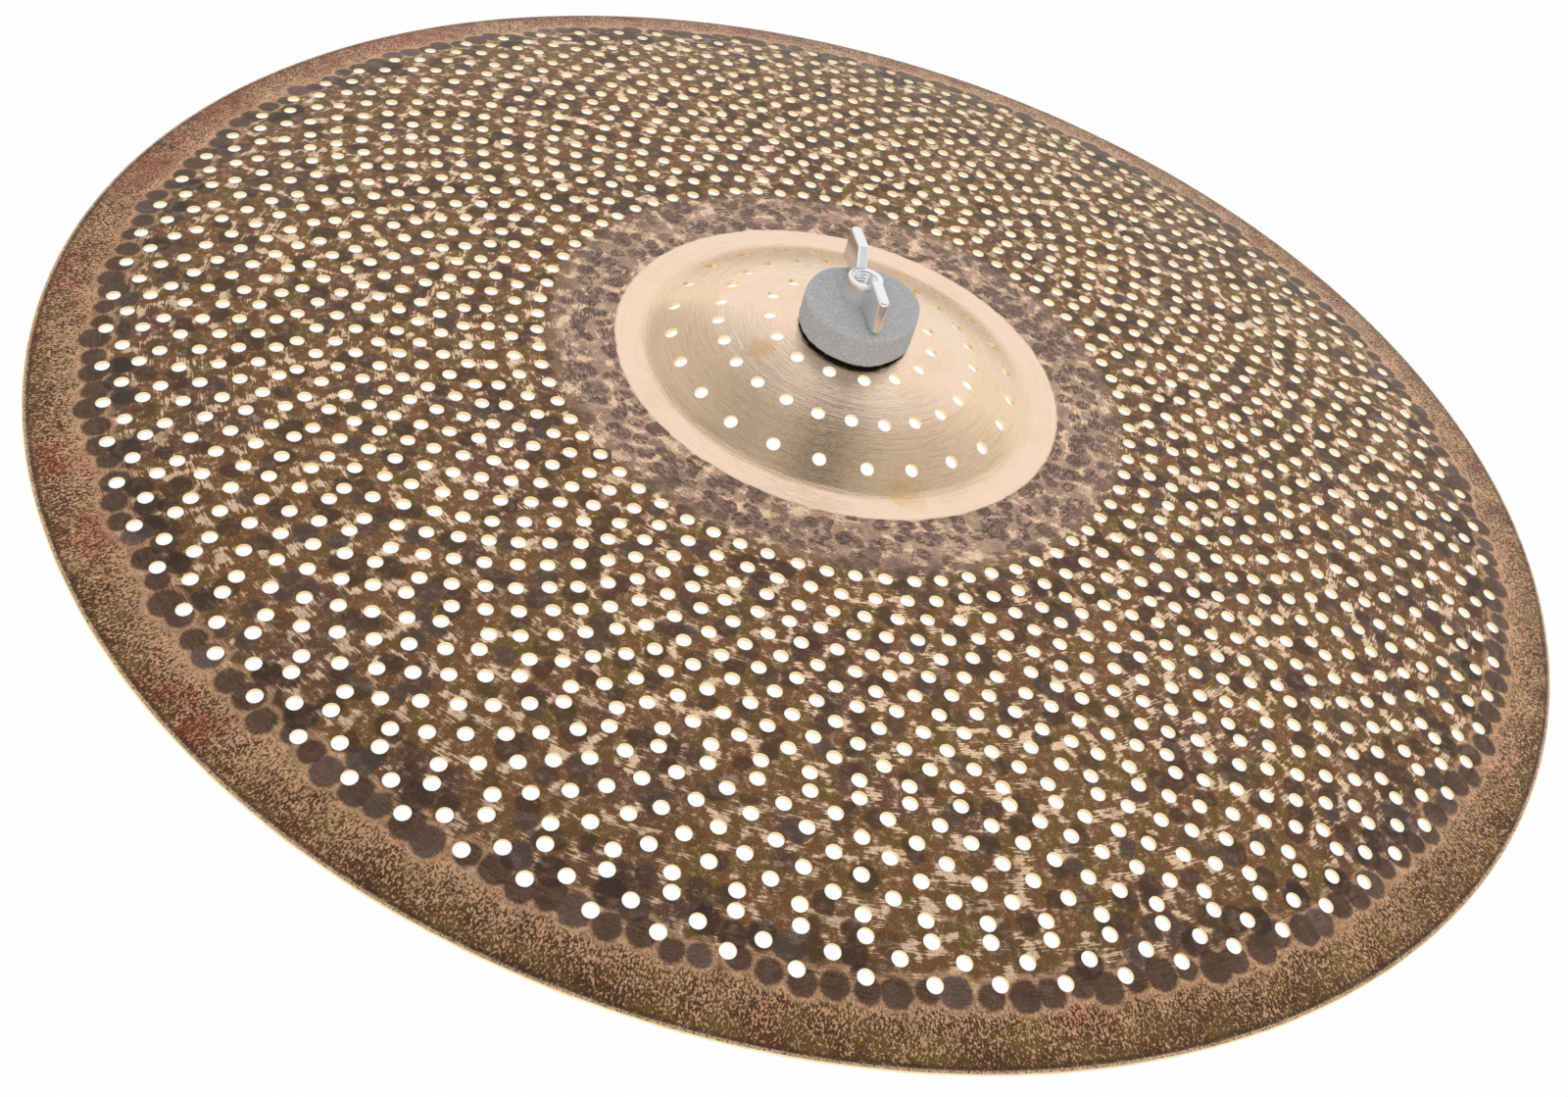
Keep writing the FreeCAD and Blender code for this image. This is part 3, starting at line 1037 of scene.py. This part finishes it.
sleeveFinish = {
    "colour": (0.02, 0.02, 0.021, 1),
    "poreScale": 3000.0,
    "scuffScale": 260.0,
}

washerFinish = {
    "colour": (0.75, 0.75, 0.77, 1),
    "lines": {"Lines per mm": 5.0, "Streak": 2.0},
}


def nylonMaterial():
    f = sleeveFinish
    material, tree, shader = newMaterial("blackNylon", Base_Color=f["colour"])
    whole = addNode(tree, "TexCoord").outputs["Object"]
    pores = noiseAt(tree, whole, f["poreScale"], 2.0)
    roughness = fit(tree, noiseAt(tree, whole, f["scuffScale"]), 0.3, 0.35)
    feed(tree, shader, Roughness=roughness, Normal=bumpFrom(tree, pores, 0.02 * mm))
    return material


def washerMaterial():
    material, tree, shader = newMaterial("brightPlate", Metallic=1.0, Base_Color=washerFinish["colour"])
    lines = useGroup(tree, groups["lathe"], washerFinish["lines"])["Value"]
    feed(tree, shader, Roughness=fit(tree, lines, 0.2, 0.1), Normal=bumpFrom(tree, lines, 0.01 * mm))
    return material


for node, finish in (("sleeve", nylonMaterial()), ("cup_washer", washerMaterial())):
    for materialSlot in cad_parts[node].material_slots:
        materialSlot.material = finish
print("sleeve and washer finished")


# Floor, light and camera

studio = {
    "floorHeight": -0.55,
    "floorSize": 14.0,
    "floorPaint": (0.85, 0.85, 0.85, 1),
    "floorGlow": 0.985,   # share of plain white where the camera or a mirror sees the floor
    "backBox": (0.3, 0.42),      # where the soft box at the back begins, and is at its full brightness
    "frontBox": (-0.35, -0.55),
    "boxMiddle": 0.1,     # the edges of both bend round this
    "gapMiddle": 0.17,    # brightness of the gap overhead between them, at its middle
    "gapSides": 0.85,     # how much brighter the gap gets towards its ends
    "seams": (-0.16, 0.30),      # two bright seams that cross the gap
    "seamWidth": 0.06,
    "lamps": (            # name, place, aim, size, power
        ("backLamp", (-0.7, 1.5, 1.0), (0, 0, 0), 1.6, 2.0),
        ("frontLamp", (0.4, -1.3, 1.5), (0, 0, 0), 1.6, 2.5),
    ),
}


def makeFloor():
    p = studio
    half = p["floorSize"] / 2
    corners = ((-half, -half), (half, -half), (half, half), (-half, half))
    verts = [(x, y, p["floorHeight"]) for x, y in corners]
    material = bpy.data.materials.new("whiteFloor")
    material.use_nodes = True
    tree = material.node_tree
    tree.nodes.clear()
    rays = addNode(tree, "LightPath").outputs
    seen = calc(tree, "MAXIMUM", rays["Is Glossy Ray"], rays["Is Transmission Ray"])
    seen = calc(tree, "MAXIMUM", rays["Is Camera Ray"], seen)
    paint = addNode(tree, "BsdfDiffuse", {"Color": p["floorPaint"]}).outputs[0]
    glow = addNode(tree, "Emission", {"Color": (1, 1, 1, 1), "Strength": 1.0}).outputs[0]
    share = times(tree, seen, p["floorGlow"])
    shown = addNode(tree, "MixShader", {0: share, 1: paint, 2: glow}).outputs[0]
    clear = addNode(tree, "BsdfTransparent").outputs[0]
    below = addNode(tree, "NewGeometry").outputs["Backfacing"]
    both = addNode(tree, "MixShader", {0: below, 1: shown, 2: clear}).outputs[0]
    tree.links.new(both, addNode(tree, "OutputMaterial").inputs["Surface"])
    newPiece("floor", verts, [(0, 1, 2, 3)], [material])


def makeWorld():
    p = studio
    world = bpy.data.worlds.new("studioWorld")
    bpy.context.scene.world = world
    world.use_nodes = True
    tree = world.node_tree
    tree.nodes.clear()
    rays = addNode(tree, "LightPath").outputs
    way = axes(tree, addNode(tree, "TexCoord").outputs["Generated"])
    aside = minus(tree, way["X"], p["boxMiddle"])
    bend = times(tree, aside, aside)
    behind = ramp(tree, minus(tree, way["Y"], bend), *p["backBox"])
    front = ramp(tree, plus(tree, way["Y"], bend), *p["frontBox"])
    gap = fit(tree, calc(tree, "ABSOLUTE", way["X"]), p["gapSides"], p["gapMiddle"])
    for seam in p["seams"]:
        gap = calc(tree, "MAXIMUM", gap, nearTo(tree, way["X"], seam, p["seamWidth"], 0.02))
    strength = calc(tree, "MAXIMUM", calc(tree, "MAXIMUM", behind, front), gap)
    strength = calc(tree, "MAXIMUM", strength, ramp(tree, way["Z"], 0.2, 0.0))
    strength = calc(tree, "MAXIMUM", strength, rays["Is Camera Ray"])
    sky = addNode(tree, "Background", {"Color": (1, 1, 1, 1), "Strength": strength}).outputs[0]
    tree.links.new(sky, addNode(tree, "OutputWorld").inputs["Surface"])


def makeLamps():
    for name, place, aim, size, power in studio["lamps"]:
        data = bpy.data.lights.new(name, "AREA")
        data.shape = "DISK"
        data.size = size
        data.energy = power
        lamp = bpy.data.objects.new(name, data)
        lamp.visible_glossy = False
        lamp.location = place
        lamp.rotation_euler = (Vector(aim) - Vector(place)).to_track_quat("-Z", "Y").to_euler()
        bpy.context.scene.collection.objects.link(lamp)


# The camera looks down on the cymbal from the player's side, rolled to the left

view = {
    "imageWidth": 1600.0,
    "imageHeight": 1119.0,
    "focalPixels": 1891.4,
    "middleX": 808.0,        # where the line of sight meets the picture, in pixels
    "middleY": 445.9,
    "distance": 0.60808,
    "elevation": 0.5898,     # radians, as are the next three
    "roll": 0.30506,
    "turn": -0.01238,
    "nod": -0.08052,
    "aimHeight": 0.00794,
    "sensor": 36.0,
}


def makeCamera():
    p = view
    place = Vector((0, -math.cos(p["elevation"]), math.sin(p["elevation"]))) * p["distance"]
    ahead = -place.normalized()
    right = Vector((1, 0, 0))
    above = right.cross(ahead)
    ahead, right = (ahead * math.cos(p["turn"]) + right * math.sin(p["turn"]),
                    right * math.cos(p["turn"]) - ahead * math.sin(p["turn"]))
    ahead, above = (ahead * math.cos(p["nod"]) + above * math.sin(p["nod"]),
                    above * math.cos(p["nod"]) - ahead * math.sin(p["nod"]))
    right, above = (right * math.cos(p["roll"]) + above * math.sin(p["roll"]),
                    above * math.cos(p["roll"]) - right * math.sin(p["roll"]))
    data = bpy.data.cameras.new("camera")
    data.sensor_width = p["sensor"]
    data.lens = p["focalPixels"] * p["sensor"] / p["imageWidth"]
    data.shift_x = (p["imageWidth"] / 2 - p["middleX"]) / p["imageWidth"]
    data.shift_y = (p["middleY"] - p["imageHeight"] / 2) / p["imageWidth"]
    data.clip_start = 0.01
    camera = bpy.data.objects.new("camera", data)
    turned = Matrix((right, above, -ahead)).transposed().to_4x4()
    camera.matrix_world = Matrix.Translation(place + Vector((0, 0, p["aimHeight"]))) @ turned
    bpy.context.scene.collection.objects.link(camera)
    bpy.context.scene.camera = camera


makeFloor()
makeWorld()
makeLamps()
makeCamera()
bpy.context.scene.view_settings.view_transform = "Standard"
print("studio set")
